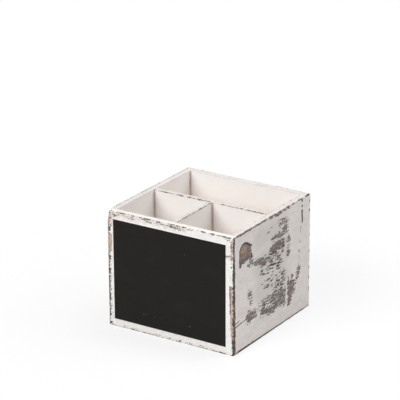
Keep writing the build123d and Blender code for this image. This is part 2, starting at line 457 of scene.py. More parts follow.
def roundOff(tree, fromMiddle, half, radius, across=(1, 1, 1)):  # how far points move in at a box's edges
    flat = vectors(tree, "SUBTRACT", half, joined(tree, radius, radius, radius))
    beyond = vectors(tree, "SUBTRACT", vectors(tree, "ABSOLUTE", fromMiddle), flat)
    beyond = vectors(tree, "MULTIPLY", vectors(tree, "MAXIMUM", beyond, (0, 0, 0)), across)
    size = maths(tree, "MAXIMUM", vectors(tree, "LENGTH", beyond), 1e-9)
    pull = maths(tree, "SUBTRACT", maths(tree, "MINIMUM", maths(tree, "DIVIDE", radius, size), 1), 1)
    return vectors(tree, "MULTIPLY", vectors(tree, "SIGN", fromMiddle), vectors(tree, "SCALE", beyond, pull))


def boardFormTree():
    tree, given, result = newGroup("board form", [
        ("Low Corner", "Vector", (0, 0, 0)), ("High Corner", "Vector", (1, 1, 1)),
        ("Across", "Int", 60), ("Deep", "Int", 8), ("Tall", "Int", 60), ("Crowding", "Float", 0.9),
        ("Holder Centre", "Vector", (0, 0, 0)), ("Holder Half", "Vector", (1, 1, 1)),
        ("Arris Radius", "Float", 0.001), ("Unevenness", "Float", 0.5),
        ("Worn Corner", "Vector", (0, 0, 0)), ("Worn Corner Radius", "Float", 0.002),
        ("Rim Easing", "Float", 0.0006), ("Eased Across", "Vector", (0, 1, 1)), ("Relief", "Float", 0.0001),
        ("Seats", "Object", None), ("Head Hole", "Vector", (0.001, 0.001, 0.001)),
        ("Has Recess", "Bool", False), ("Recess Low", "Vector", (0, 0, 0)),
        ("Recess High", "Vector", (1, 1, 1)), ("Finish", "Material", None),
    ], [("Geometry", "Geometry")], "GeometryNodeTree")
    tree.is_modifier = True

    # a box of cells that are smallest along its edges
    cube = place(tree, "GeometryNodeMeshCube", {
        "Size": (2, 2, 2), "Vertices X": given["Across"], "Vertices Y": given["Deep"],
        "Vertices Z": given["Tall"]})
    start = place(tree, "GeometryNodeInputPosition").outputs[0]
    slack = vectors(tree, "SUBTRACT", (1, 1, 1), vectors(tree, "ABSOLUTE", start))
    stretch = vectors(tree, "ADD", vectors(tree, "SCALE", slack, given["Crowding"]), (1, 1, 1))
    crowded = vectors(tree, "MULTIPLY", start, stretch)
    middle = middleOf(tree, given["Low Corner"], given["High Corner"])
    half = vectors(tree, "SCALE", vectors(tree, "SUBTRACT", given["High Corner"], given["Low Corner"]), 0.5)
    board = place(tree, "GeometryNodeSetPosition", {
        "Geometry": cube.outputs[0], "Position": vectors(tree, "MULTIPLY_ADD", crowded, half, middle)})

    # the recess and one hole for each brad's head
    recess = place(tree, "GeometryNodeMeshCube", {
        "Size": vectors(tree, "SUBTRACT", given["Recess High"], given["Recess Low"])})
    recess = place(tree, "GeometryNodeTransform", {
        "Geometry": recess.outputs[0],
        "Translation": middleOf(tree, given["Recess Low"], given["Recess High"])})
    chosen = place(tree, "GeometryNodeSwitch", {
        "Switch": given["Has Recess"], "True": recess.outputs[0]}, input_type="GEOMETRY")
    seats = place(tree, "GeometryNodeObjectInfo", {"Object": given["Seats"]})
    head = place(tree, "GeometryNodeMeshCube", {"Size": given["Head Hole"]})
    heads = place(tree, "GeometryNodeInstanceOnPoints", {
        "Points": seats.outputs["Geometry"], "Instance": head.outputs[0]})
    cutters = place(tree, "GeometryNodeJoinGeometry")
    feed(tree, cutters.inputs[0], heads.outputs[0])
    feed(tree, cutters.inputs[0], chosen.outputs[0])
    solid = place(tree, "GeometryNodeRealizeInstances", {"Geometry": cutters.outputs[0]})
    cut = place(tree, "GeometryNodeMeshBoolean", operation="DIFFERENCE", solver="MANIFOLD")
    feed(tree, cut.inputs["Mesh 1"], board.outputs[0])
    feed(tree, cut.inputs["Mesh 2"], solid.outputs[0])

    # outside arrises, rounded against the whole box, most at the worn corner
    here = place(tree, "GeometryNodeInputPosition").outputs[0]
    fromCentre = vectors(tree, "SUBTRACT", here, given["Holder Centre"])
    uneven = maths(tree, "SUBTRACT", noise(tree, here, 110, 3, 0.6), 0.5)
    uneven = maths(tree, "MULTIPLY_ADD", uneven, maths(tree, "MULTIPLY", given["Unevenness"], 4), 1)
    near = remap(tree, vectors(tree, "DISTANCE", here, given["Worn Corner"]), 0.012, 0.0)
    radius = maths(tree, "MULTIPLY", given["Arris Radius"], maths(tree, "MAXIMUM", uneven, 0.25))
    radius = maths(tree, "MULTIPLY_ADD", near, given["Worn Corner Radius"], radius)
    rounded = place(tree, "GeometryNodeSetPosition", {
        "Geometry": cut.outputs["Mesh"], "Offset": roundOff(tree, fromCentre, given["Holder Half"], radius)})

    # the board's own rim, eased across its length
    fromMiddle = vectors(tree, "SUBTRACT", here, middle)
    eased = place(tree, "GeometryNodeSetPosition", {
        "Geometry": rounded.outputs[0],
        "Offset": roundOff(tree, fromMiddle, half, given["Rim Easing"], given["Eased Across"])})

    # faces that a plane has left slightly hollow
    normal = place(tree, "GeometryNodeInputNormal").outputs[0]
    hollow = maths(tree, "MULTIPLY", noise(tree, here, 45, 3, 0.5), given["Relief"])
    worked = place(tree, "GeometryNodeSetPosition", {
        "Geometry": eased.outputs[0],
        "Offset": vectors(tree, "SCALE", normal, maths(tree, "MULTIPLY", hollow, -1))})
    smooth = place(tree, "GeometryNodeSetShadeSmooth", {
        "Geometry": worked.outputs[0], "Shade Smooth": True}, domain="FACE")
    angle = place(tree, "GeometryNodeInputMeshEdgeAngle").outputs[0]
    sharp = place(tree, "GeometryNodeSetShadeSmooth", {
        "Geometry": smooth.outputs[0], "Selection": maths(tree, "GREATER_THAN", angle, 0.6),
        "Shade Smooth": False}, domain="EDGE")
    real = place(tree, "GeometryNodeRealizeInstances", {"Geometry": sharp.outputs[0]})
    finish = place(tree, "GeometryNodeSetMaterial", {
        "Geometry": real.outputs[0], "Material": given["Finish"]})
    feed(tree, result["Geometry"], finish.outputs[0])
    arrange(tree)
    return tree


boardForm = boardFormTree()


def evaluated(name, tree, inputs):  # the tree's result as a plain mesh object at the origin
    mesh = bpy.data.meshes.new(name + " start")
    carrier = newObject(name + " start", mesh)
    modifier = carrier.modifiers.new(tree.name, "NODES")
    modifier.node_group = tree
    for item in tree.interface.items_tree:
        if item.in_out == "INPUT" and item.name in inputs:
            modifier[item.identifier] = inputs[item.name]
    bpy.context.view_layer.update()
    depsgraph = bpy.context.evaluated_depsgraph_get()
    result = bpy.data.meshes.new_from_object(carrier.evaluated_get(depsgraph))
    carrier.modifiers.remove(modifier)
    bpy.data.objects.remove(carrier)
    bpy.data.meshes.remove(mesh)
    result.name = name
    return newObject(name, result)


def seatPoints(name, places):
    mesh = bpy.data.meshes.new(name)
    mesh.from_pydata([Vector(p) * mm for p in places], [], [])
    return newObject(name, mesh)


def makeBoard(name, node, s, material):
    low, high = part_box(node)
    for axis in range(3):  # where a board is let into another, the part that shows ends at the face
        low[axis] = max(low[axis], s["from"][axis] * mm)
        high[axis] = min(high[axis], s["to"][axis] * mm)
    seats = seatPoints(name + " seats", s["seats"])
    inputs = {
        "Low Corner": low, "High Corner": high, "Crowding": 0.9,
        "Across": s["cells"][0], "Deep": s["cells"][1], "Tall": s["cells"][2],
        "Holder Centre": holder["centre"], "Holder Half": holder["half"],
        "Arris Radius": holder["arris"] * mm, "Unevenness": holder["unevenness"],
        "Worn Corner": Vector(holder["wornCorner"]) * mm,
        "Worn Corner Radius": holder["wornCornerRadius"] * mm,
        "Rim Easing": s["easing"] * mm, "Eased Across": s["easedAcross"], "Relief": s["relief"] * mm,
        "Seats": seats, "Head Hole": Vector(s["headHole"]) * mm, "Finish": material,
    }
    if "recess" in s:
        inputs.update({"Has Recess": True, "Recess Low": s["recess"][0], "Recess High": s["recess"][1]})
    piece = evaluated(name, boardForm, inputs)
    bpy.data.objects.remove(seats)
    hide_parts(node)
    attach(piece, "root")
    print(name, "made:", len(piece.data.polygons), "faces")
    return piece


far = 999  # mm, past every face
everywhere = {"from": (-far, -far, -far), "to": (far, far, far), "seats": [], "headHole": (1, 1, 1),
              "easing": holder["rimEasing"], "relief": holder["relief"]}
brads = {"rise": 24.4, "drop": 35.5, "inset": 30.0, "height": 3.0, "head": (1.0, 2.0), "hole": 0.7}  # mm
cornerHeights = (brads["rise"], h - brads["drop"])
cornerPlaces = [(x, z) for x in (left + wall / 2, right - wall / 2) for z in cornerHeights]
headHoleAlongX = (brads["head"][0], 2 * brads["hole"], brads["head"][1])
headHoleAlongY = (2 * brads["hole"], brads["head"][0], brads["head"][1])

finishes = {  # colours that every painted board starts from, in linear RGB
    # outer paint darker than the front board's own, as painted shade on the side, back and base faces
    "paint": rgb(0.75, 0.696, 0.67),
    "thinPaint": rgb(0.60, 0.563, 0.54),
    # the wells' coat, made brighter than the outer paint as painted light
    "wellPaintLit": rgb(0.985, 0.965, 0.95),
    "wellThinLit": rgb(0.965, 0.925, 0.89),
    # warm colour down in the wells: bare wood under thin paint, and painted warm shade
    "wellWoodAndShade": rgb(0.95, 0.81, 0.68),
    "wellFade": (106, 60),  # mm up, where the thin paint and painted shade of the wells begin and are full
    # colour and strength of the corner lines: joint wood and painted corner shade
    "cornerJointAndShade": rgb(0.58, 0.41, 0.29),
    "cornerJointAndShadeTint": 0.6,
    "greyPale": rgb(0.37, 0.325, 0.305),
    "greyDark": rgb(0.115, 0.093, 0.084),
    "tanPale": rgb(0.56, 0.44, 0.35),
    "tanDark": rgb(0.30, 0.21, 0.155),
    "arrisDark": rgb(0.060, 0.045, 0.037),
    "arrisDirt": 0.95,
    # dark rims of bare patches: dirt, and painted shadow of the paint's edge
    "rimDarkAndShade": rgb(0.055, 0.043, 0.038),
    "rimDirtAndShade": 0.75,
    "thinTint": 0.3,
    "thinFade": (-6.0, 7.0),
    "paintSpread": {"Mottle": 0.25, "Streaks": 0.3, "Speckle": 0.55},
    "wellSpread": {"Mottle": 0.4, "Streaks": 0.35, "Speckle": 0.25},
    "coatHeight": 0.10, "ridgeHeight": 0.055, "fibreHeight": 0.08,  # mm
    "markEdge": {"Streak": 2.6, "Streak Length": 9.0, "Streak Width": 1.5, "Chip": 3.0, "Chip Size": 1.1},
    "arrisEdge": {"Streak": 0.8, "Streak Length": 4.0, "Streak Width": 4.0, "Chip": 0.7, "Chip Size": 0.7},
    "dash": {"length": 5.6, "width": 1.3, "fade": 4.3, "most": 1.0},
    "chip": {"length": 2.0, "width": 1.3, "fade": 1.6, "most": 1.0},
    "flecks": {"Spacing": 14.0, "Size": 0.35, "Share": 0.12},
    "marks": [], "kept": [], "dashZones": [], "chipZones": [], "thinZones": [], "edges": [], "cracks": [],
    "tanMarks": [], "arrises": [],
}

recess = {"left": -57.7, "right": 55.6, "bottom": 6.9, "top": 99.2, "depth": 2.2}  # mm, for the chalkboard

frontBoard = {
    **everywhere, **finishes, "grain": "X", "offset": (11, 3, 7), "cells": (120, 10, 104),
    # the front's own paint; on its ends the sides' darker paint, as painted shade
    "paint": rgb(0.86, 0.84, 0.815), "thinPaint": rgb(0.66, 0.60, 0.55), "shadedEndPaint": rgb(0.73, 0.678, 0.652),
    "tanPale": rgb(0.80, 0.63, 0.50), "tanDark": rgb(0.44, 0.31, 0.23), "rimDirtAndShade": 0.5,
    "thinFade": (-2.5, 3.0), "paintSpread": {"Mottle": 0.08, "Streaks": 0.2, "Speckle": 0.35},
    "chip": {"length": 2.0, "width": 1.3, "fade": 1.6, "most": 1.35},
    "easedAcross": (0, 1, 1), "headHole": headHoleAlongX,
    "seats": [(x, front, z) for x, z in cornerPlaces],
    "recess": (Vector((recess["left"], front - 1, recess["bottom"])) * mm,
               Vector((recess["right"], front + recess["depth"], recess["top"])) * mm),
    "arrises": ["frontRight", "frontLeft", "frontTop", "frontBottom", "rightTop", "rightBottom", "leftTop",
                "leftBottom"],
    "marks": onFace("front", [
        (-46.0, 104.6, -36.0, 104.2, 0.5, 0.4, -0.8),
        (-22.0, 103.6, -4.0, 103.2, 0.5, 0.6, -0.8),
        (2.0, 104.6, 12.0, 104.0, 0.8, 0.7, -0.2),
        (56.8, 105.8, 59.3, 104.0, 0.7, 0.5, 2.0),
        (56.2, 88.8, 60.2, 89.7, 0.25, 0.2, 0.2),
        (-62.8, 44.0, -62.8, 10.0, 0.9, 0.8, -0.5),
    ]),
    "dashZones": onFace("front", [
        (-56.0, 104.5, -30.0, 104.8, 1.6, 1.4, 9),
        (-30.0, 104.8, 24.0, 104.2, 1.4, 2.0, 9),
        (2.0, 102.5, 22.0, 103.6, 1.2, 2.0, 9),
        (24.0, 104.5, 56.0, 105.0, 0.7, 0.7, 9),
    ]),
    "chipZones": onFace("front", [
        (-61.0, 104.0, -61.3, 88.0, 4.0, 2.2, 9),
        (-60.0, 103.5, -53.0, 104.0, 3.4, 2.0, 9),
        (-61.8, 88.0, -61.8, 40.0, 2.5, 2.1, 9),
        (-62.0, 40.0, -62.0, 8.0, 1.7, 1.5, 9),
        (61.0, 104.0, 61.2, 78.0, 1.4, 1.0, 9),
        (61.6, 63.0, 62.0, 10.0, 0.8, 0.8, 9),
        (-61.0, 2.0, 60.0, 2.0, 0.8, 0.8, 9),
    ]),
    "thinZones": onFace("front", [
        (-61.0, 102.5, -61.8, 94.0, 4.4, 2.4, 4),
        (-60.5, 103.0, -50.0, 104.0, 3.8, 2.0, 4),
        (-50.0, 104.0, 16.0, 104.0, 1.4, 1.0, 0.8),
        (-62.3, 94.0, -62.3, 44.0, 1.3, 1.6, 2),
        (-62.6, 44.0, -62.6, 6.0, 0.8, 0.4, 1),
    ]),
    "edges": onFace("front", [
        (61.2, 103.0, 61.2, 86.0, 0.9, 0.7, 0.2),
        (61.0, 62.5, 61.5, 36.0, 1.2, 1.6, 2.0),
        (61.6, 36.0, 62.3, 12.0, 1.6, 1.0, 1.0),
        (-61.9, 84.0, -61.5, 71.0, 2.5, 2.1, 1.0),
    ]),
    "cracks": onFace("front", [
        (-61.9, 2.3, -60.6, 2.9, 0.9, 0.6, 2.0),
        (62.6, 0.6, 62.9, 3.4, 0.9, 0.6, 2.0),
        (59.7, 63.0, 59.9, 38.0, 0.4, 0.2, 2.0),
    ]) + onFace("right", [
        (1.6, 25.3, 7.2, 25.9, 0.5, 0.5, 2.0),
        (2.6, 28.5, 7.2, 29.3, 0.4, 0.4, 2.0),
    ]),
    "tanMarks": onFace("front", [
        (61.0, 104.0, 61.0, 86.0, 1.8, 1.6, 3.0),
        (61.0, 64.0, 61.3, 12.0, 1.7, 1.5, 5.0),
        (-61.8, 85.0, -61.8, 71.0, 3.0, 3.0, 5.0),
        (-62.0, 103.0, -62.0, 93.0, 2.0, 1.6, 1.2),
        (-48.0, 105.0, -36.0, 105.0, 1.8, 1.4, 1.0),
        (6.0, 104.4, 16.0, 104.0, 1.4, 1.2, 0.4),
    ]),
}

rightBoard = {
    **everywhere, **finishes, "grain": "Y", "offset": (91, 5, 63), "cells": (10, 112, 104),
    "easedAcross": (1, 0, 1), "headHole": headHoleAlongY,
    "seats": [(right, y, brads["height"]) for y in (front + brads["inset"], back - brads["inset"])],
    "tanPale": rgb(0.46, 0.33, 0.25), "tanDark": rgb(0.18, 0.126, 0.093),
    "greyPale": rgb(0.315, 0.275, 0.258),
    "arrises": ["rightTop", "rightBottom", "frontRight", "backRight"],
    "marks": onFace("right", [
        (22.8, 89.4, 26.2, 81.0, 4.8, 3.0, 1.8),  # ragged side of the half-moon
        (24.0, 75.5, 30.0, 74.5, 1.7, 1.8, 0.4),
        (35.0, 73.6, 48.0, 69.2, 2.2, 4.8, 1.2),  # the streak that runs down from it
        (62.0, 76.4, 80.0, 75.8, 4.0, 3.8, 3.4),
        (63.5, 85.6, 74.0, 84.2, 2.0, 2.2, 0.4),
        (76.0, 93.6, 86.0, 94.6, 1.8, 2.0, 0.1),
        (84.8, 92.0, 84.6, 85.5, 3.0, 3.2, 0.5),
        (77.0, 83.8, 86.5, 84.6, 1.8, 1.8, 0.8),
        (57.5, 67.8, 61.5, 66.6, 2.4, 2.1, 0.7),
        (66.0, 69.5, 74.0, 64.8, 2.4, 2.6, 0.5),
        (89.4, 78.0, 89.4, 64.0, 1.7, 1.9, -0.1),
        (80.5, 48.0, 81.0, 43.0, 2.6, 2.4, -0.3),
        (69.0, 38.8, 77.0, 38.2, 1.4, 1.2, 0.2),
        (25.6, 47.0, 26.8, 44.6, 2.8, 2.4, 0.6),
        (27.0, 40.8, 27.4, 40.4, 1.8, 1.6, 0.8),
        (48.0, 32.6, 66.0, 31.0, 2.6, 3.4, 0.5),  # the lower streak
        (66.0, 30.5, 82.0, 27.0, 5.0, 6.8, 0.9),
        (70.0, 23.5, 84.0, 20.8, 4.4, 3.6, 0.9),
        (46.0, 23.4, 64.0, 20.6, 3.0, 3.6, 1.2),
        (24.0, 27.6, 34.0, 27.8, 4.4, 3.4, 2.2),
        (24.5, 24.6, 27.5, 24.4, 2.4, 1.8, 1.4),
        (94.8, 31.0, 94.4, 28.0, 6.6, 6.2, 4.0),  # tapered mark
        (93.4, 27.0, 90.4, 15.5, 5.4, 1.8, 3.0),
        (90.0, 36.5, 89.9, 40.0, 1.6, 0.8, 1.0),
        (96.0, 37.0, 96.5, 40.0, 1.6, 0.8, 1.0),
        (101.0, 32.6, 106.0, 37.5, 2.2, 2.2, 0.9),
        (106.0, 39.0, 107.4, 42.0, 2.6, 2.4, 1.2),
    ]),
    "kept": onFace("right", [
        (86.5, 10.0, 86.7, 62.0, 1.5, 1.2, 9),
        (88.0, 80.0, 88.0, 104.0, 0.9, 0.9, 9),
    ]),
    "dashZones": onFace("right", [
        (48.0, 60.0, 76.0, 58.0, 6.5, 7.0, 9),  # between the two streaks
        (50.0, 48.0, 76.0, 46.0, 6.5, 8.0, 9),
        (66.0, 40.0, 80.0, 38.0, 4.5, 5.0, 9),
        (40.0, 72.0, 78.0, 72.0, 4.0, 7.5, 9),
        (62.0, 84.0, 82.0, 88.0, 4.0, 6.0, 9),
        (62.0, 97.0, 84.0, 98.0, 3.0, 3.4, 2.4),
        (38.0, 97.0, 62.0, 94.0, 3.0, 4.0, 1.0),
        (89.5, 80.0, 89.5, 64.0, 2.6, 3.4, 9),
        (25.0, 76.0, 34.0, 74.0, 2.5, 3.0, 9),
        (40.0, 32.0, 50.0, 20.0, 3.6, 3.6, 2.4),
        (50.0, 26.0, 78.5, 24.0, 8.0, 7.0, 9),
        (22.0, 27.0, 36.0, 27.0, 4.0, 4.0, 2.4),
        (26.0, 47.0, 27.0, 40.0, 2.6, 2.6, 4),
        (106.0, 44.0, 104.0, 34.0, 2.6, 2.6, 2),
    ]),
    "thinZones": onFace("right", [
        (40.0, 92.0, 78.0, 92.0, 9.0, 10.0, 7.0),
        (48.0, 66.0, 76.0, 66.0, 15.0, 16.0, 7.0),
        (46.0, 44.0, 78.0, 42.0, 13.0, 14.0, 7.0),
    ]),
    "chipZones": onFace("right", [
        (10.0, 105.6, 108.0, 105.6, 1.2, 1.2, 9),
        (54.0, 104.6, 92.0, 104.6, 1.6, 1.3, 9),
        (3.0, 1.4, 120.0, 1.4, 0.6, 0.6, 9),
    ]) + onFace("top", [(57.6, -55.0, 57.6, 56.0, 0.8, 1.8, 9)]),
    "cracks": onFace("right", [
        (2.0, 25.4, 12.0, 26.4, 0.5, 0.5, 2.0),
        (12.0, 26.4, 21.0, 26.8, 0.3, 0.3, 2.0),
        (3.0, 28.6, 9.0, 29.6, 0.5, 0.3, 2.0),
        # dark line along the bottom edge: worn arris and painted contact shadow
        (0.0, 0.6, 120.0, 0.5, 1.9, 0.7, 2.0),
        (9.3, 88.0, 9.6, 92.4, 0.6, 0.5, 2.0),  # dark outline of the half-moon, partly painted shadow of the paint's edge
        (9.6, 92.4, 12.6, 95.8, 0.5, 0.6, 2.0),
        (12.6, 95.8, 17.0, 97.0, 0.6, 0.6, 2.0),
        (17.0, 97.0, 22.0, 95.2, 0.6, 0.8, 2.0),
        (22.0, 95.2, 26.0, 91.8, 0.8, 0.9, 2.0),
        (27.4, 84.6, 28.8, 81.0, 0.7, 0.9, 2.0),
        (10.4, 78.2, 9.6, 83.0, 0.6, 0.1, 2.0),
        (112.0, 105.0, 112.4, 103.6, 1.0, 0.8, 2.0),
        (112.2, 99.6, 112.4, 98.8, 1.0, 0.9, 2.0),
        (112.2, 95.2, 112.8, 84.6, 1.1, 1.0, 2.0),
        (110.5, 81.0, 110.2, 75.5, 0.25, 0.15, 2.0),
        (108.6, 67.4, 108.5, 66.6, 0.4, 0.4, 2.0),
        (107.8, 59.2, 107.7, 58.2, 0.7, 0.6, 2.0),
        (107.8, 56.0, 107.5, 42.0, 0.1, 0.1, 2.0),
    ]),
    "edges": onFace("right", [
        (16.2, 90.2, 15.0, 85.5, 7.0, 6.8, 9.0),  # half-moon
        (18.5, 88.4, 21.5, 83.5, 6.0, 3.8, 9.0),
        (12.2, 83.5, 10.4, 78.4, 4.0, 1.7, 9.0),
        (69.0, 105.0, 74.0, 103.8, 1.3, 1.0, 1.0),
        (1.0, 106.4, 50.0, 106.2, 1.1, 0.8, 0.9),
        (58.0, 105.6, 90.0, 105.6, 1.3, 1.1, -0.1),
    ]),
    "tanMarks": onFace("right", [
        (14.0, 92.0, 17.0, 88.0, 4.5, 4.0, 6.0),
        (95.0, 33.0, 92.0, 22.0, 4.0, 2.5, -0.1),
        (2.0, 106.6, 50.0, 106.6, 2.0, 1.5, 2.5),
        (55.0, 106.0, 92.0, 106.0, 3.4, 3.2, 1.5),
    ]),
}

backBoard = {
    **everywhere, **finishes, "grain": "X", "offset": (3, 41, 23), "cells": (120, 10, 104),
    "easedAcross": (0, 1, 1), "headHole": headHoleAlongX,
    "seats": [(x, back, z) for x, z in cornerPlaces] + [
        (x, back, brads["height"]) for x in (left + brads["inset"], right - brads["inset"])],
    "arrises": ["backRight", "backLeft", "backTop", "backBottom", "rightTop", "rightBottom", "leftTop",
                "leftBottom"],
    "marks": onFace("back", [
        (-20.0, 78.0, 18.0, 74.0, 2.2, 3.6, 2.5),
        (20.0, 72.0, 34.0, 69.0, 3.0, 1.6, 2.0),
        (-8.0, 66.0, 14.0, 63.0, 1.4, 1.8, 0.6),
        (-46.0, 30.0, -20.0, 34.0, 2.6, 3.0, 2.5),
        (-38.0, 24.0, -28.0, 25.0, 1.6, 1.8, 1.0),
        (30.0, 24.0, 48.0, 28.0, 1.2, 2.4, 1.2),
        (-52.0, 92.0, -40.0, 90.0, 2.2, 1.2, 1.5),
        (44.0, 96.0, 52.0, 88.0, 1.2, 1.8, 1.0),
    ]),
    "dashZones": onFace("back", [
        (-16.0, 60.0, 26.0, 62.0, 6.0, 8.0, 9), (-10.0, 46.0, 24.0, 42.0, 6.0, 7.0, 9),
        (-48.0, 32.0, -18.0, 32.0, 5.0, 7.0, 9), (-16.0, 80.0, 34.0, 72.0, 6.0, 5.0, 9),
        (30.0, 26.0, 50.0, 28.0, 4.0, 5.0, 9), (-54.0, 92.0, -38.0, 90.0, 3.6, 3.6, 9),
    ]),
    "thinZones": onFace("back", [
        (-14.0, 60.0, 26.0, 54.0, 14.0, 16.0, 2.4), (-44.0, 34.0, -20.0, 34.0, 8, 9, 2.4),
    ]),
    "tanMarks": onFace("back", [
        (-20.0, 78.0, 10.0, 75.0, 1.4, 1.8, 1.0), (-50.0, 92.0, -44.0, 91.0, 2, 2, 2),
    ]),
    "cracks": onFace("right", [
        (125.2, 100.4, 125.4, 99.4, 0.7, 0.6, 2.0), (124.9, 92.0, 125.2, 90.8, 0.9, 0.7, 2.0),
        (125.8, 69.0, 125.8, 68.2, 0.5, 0.4, 2.0), (125.6, 53.6, 125.6, 52.4, 0.6, 0.5, 2.0),
        (125.8, 38.2, 125.8, 36.6, 0.5, 0.4, 2.0), (125.5, 28.8, 125.5, 27.6, 0.7, 0.6, 2.0),
        (125.5, 18.0, 125.5, 17.0, 0.6, 0.5, 2.0),
    ]),
}

leftBoard = {
    **everywhere, **finishes, "grain": "Y", "offset": (71, 29, 13), "cells": (10, 112, 104),
    "easedAcross": (1, 0, 1), "headHole": headHoleAlongY,
    "seats": [(left, y, brads["height"]) for y in (front + brads["inset"], back - brads["inset"])],
    "arrises": ["leftTop", "leftBottom", "frontLeft", "backLeft"],
    "marks": onFace("left", [
        (22.0, 34.0, 52.0, 38.0, 2.4, 4.4, 3.0),
        (52.0, 38.0, 78.0, 36.0, 4.0, 2.0, 3.0),
        (30.0, 27.0, 60.0, 28.0, 1.6, 2.4, 1.2),
        (64.0, 82.0, 92.0, 86.0, 2.0, 3.4, 2.5),
        (70.0, 75.0, 86.0, 76.0, 1.4, 1.8, 1.0),
        (100.0, 62.0, 104.0, 50.0, 2.6, 1.2, 2.0),
        (12.0, 90.0, 20.0, 86.0, 3.0, 2.0, 2.5),
        (14.0, 14.0, 34.0, 12.0, 1.0, 1.4, 0.6),
    ]),
    "dashZones": onFace("left", [
        (44.0, 62.0, 84.0, 60.0, 7.0, 9.0, 9), (40.0, 48.0, 80.0, 48.0, 5.0, 7.0, 9),
        (24.0, 32.0, 80.0, 36.0, 6.0, 6.0, 9), (62.0, 80.0, 92.0, 82.0, 6.0, 6.0, 9),
        (10.0, 88.0, 22.0, 86.0, 4.0, 4.0, 9), (100.0, 62.0, 104.0, 48.0, 4.0, 3.0, 9),
    ]),
    "thinZones": onFace("left", [
        (40.0, 54.0, 84.0, 54.0, 13.0, 15.0, 2.4), (60.0, 80.0, 90.0, 80.0, 8, 9, 2.4),
    ]),
    "tanMarks": onFace("left", [
        (12.0, 90.0, 18.0, 88.0, 2.6, 2.0, 2), (50.0, 38.0, 70.0, 37.0, 1.6, 1.2, 1),
    ]),
}

basePanel = {
    **everywhere, **finishes, "grain": "X", "offset": (5, 61, 37), "cells": (70, 70, 6),
    "easedAcross": (1, 1, 0), "easing": 0.3,
}

innerBoards = {**everywhere, **finishes, "rimDirtAndShade": 0.35, "greyPale": rgb(0.42, 0.35, 0.30),
               "greyDark": rgb(0.17, 0.13, 0.10)}

partitionBoard = {
    **innerBoards, "grain": "X", "offset": (47, 9, 53), "cells": (110, 10, 90), "easedAcross": (0, 1, 1),
    "from": (-innerWall, -far, baseTop), "to": (innerWall, far, far),
    "edges": onFace("top", [
        (-57.0, partitionFaces[0], 0.0, partitionFaces[0], 0.5, 0.5, 0.05),
        (12.0, partitionFaces[0], 57.0, partitionFaces[0], 0.6, 0.65, 0.2),
        (-57.0, partitionFaces[1], 57.0, partitionFaces[1], 0.4, 0.5, -0.2),
    ]),
}

dividerBoard = {
    **innerBoards, "grain": "Y", "offset": (19, 83, 61), "cells": (8, 60, 90), "easedAcross": (1, 0, 1),
    "from": (-far, -innerWall, baseTop), "to": (far, partitionFaces[0], far),
    "edges": onFace("top", [(x, -57.0, x, -0.8, 0.55, 0.55, 0.05) for x in dividerFaces]),
}

boards = [
    ("front_board", "front_panel", frontBoard), ("back_board", "back_panel", backBoard),
    ("right_board", "right_side", rightBoard), ("left_board", "left_side", leftBoard),
    ("base_board", "base_panel", basePanel), ("partition_board", "partition", partitionBoard),
    ("divider_board", "divider", dividerBoard),
]
for name, node, settings in boards:
    material = paintedBoard(name.replace("_", " ") + " paint", settings)
    makeBoard(name, node, settings, material)


# Chalkboard: a matt black coat with chalk dust left in it

chalkSettings = {
    "black": rgb(0.0128, 0.0114, 0.0107), "dusty": rgb(0.0190, 0.0176, 0.0168),
    "chalk": rgb(0.20, 0.20, 0.19), "dust": {"Spacing": 16.0, "Size": 0.30, "Share": 0.10},
    "smears": 0.6, "leftovers": onFace("front", [  # chalk that the cloth missed
        (-27.2, 18.0, -27.0, 16.8, 0.35, 0.25, 1), (-24.0, 18.2, -23.8, 17.8, 0.4, 0.3, 1),
        (-16.2, 17.6, -16.0, 17.3, 0.3, 0.3, 1), (19.2, 17.0, 20.2, 17.6, 0.4, 0.35, 1),
        (16.2, 15.4, 16.3, 15.2, 0.25, 0.25, 1), (14.6, 81.8, 15.6, 82.2, 0.3, 0.2, 1),
    ]),
    "cells": (60, 4, 50), "easing": 0.15, "relief": 0.03, "easedAcross": (1, 0, 1),
}


def chalkFinish(s):
    material, tree = newMaterial("chalkboard coat")
    where = placeOnPiece(tree)
    smear = noise(tree, vectors(tree, "MULTIPLY", where, (0.05, 0.05, 0.09)), 1, 4, 0.55)
    wiped = noise(tree, vectors(tree, "MULTIPLY", where, (0.12, 0.12, 1.1)), 1, 3, 0.6)
    dust = maths(tree, "MULTIPLY", remap(tree, smear, 0.45, 0.75), s["smears"])
    dust = maths(tree, "MULTIPLY_ADD", remap(tree, wiped, 0.5, 0.8), 0.25, dust)
    colour = blendColour(tree, dust, s["black"], s["dusty"])
    specks = useGroup(tree, flecks, {"Vector": where, **s["dust"]})["Mask"]
    missed = remap(tree, maths(tree, "MULTIPLY_ADD", noise(tree, where, 2.2, 2, 0.6), 0.8, strokeField(
        tree, where, s["leftovers"])), 0.25, 0.75)
    missed = maths(tree, "MULTIPLY", missed, 0.9)
    chalked = maths(tree, "MAXIMUM", maths(tree, "MULTIPLY", specks, 0.5), missed)
    colour = blendColour(tree, chalked, colour, s["chalk"])
    grit = noise(tree, where, 2.6, 3, 0.65)
    bump = place(tree, "ShaderNodeBump", {
        "Strength": 0.5, "Distance": mm, "Height": maths(tree, "MULTIPLY", grit, 0.04)})
    shader = place(tree, "ShaderNodeBsdfPrincipled", {
        "Base Color": colour, "Roughness": maths(tree, "MULTIPLY_ADD", smear, 0.2, 0.72),
        "Normal": bump.outputs[0], "Specular IOR Level": 0.12})
    place(tree, "ShaderNodeOutputMaterial", {"Surface": shader.outputs[0]})
    arrange(tree)
    return material


chalkCoat = chalkFinish(chalkSettings)
chalkPiece = makeBoard("chalk_board", "chalkboard", {**everywhere, **chalkSettings}, chalkCoat)


# Brads: sunk heads, mostly painted over, with steel and rust where the paint is off

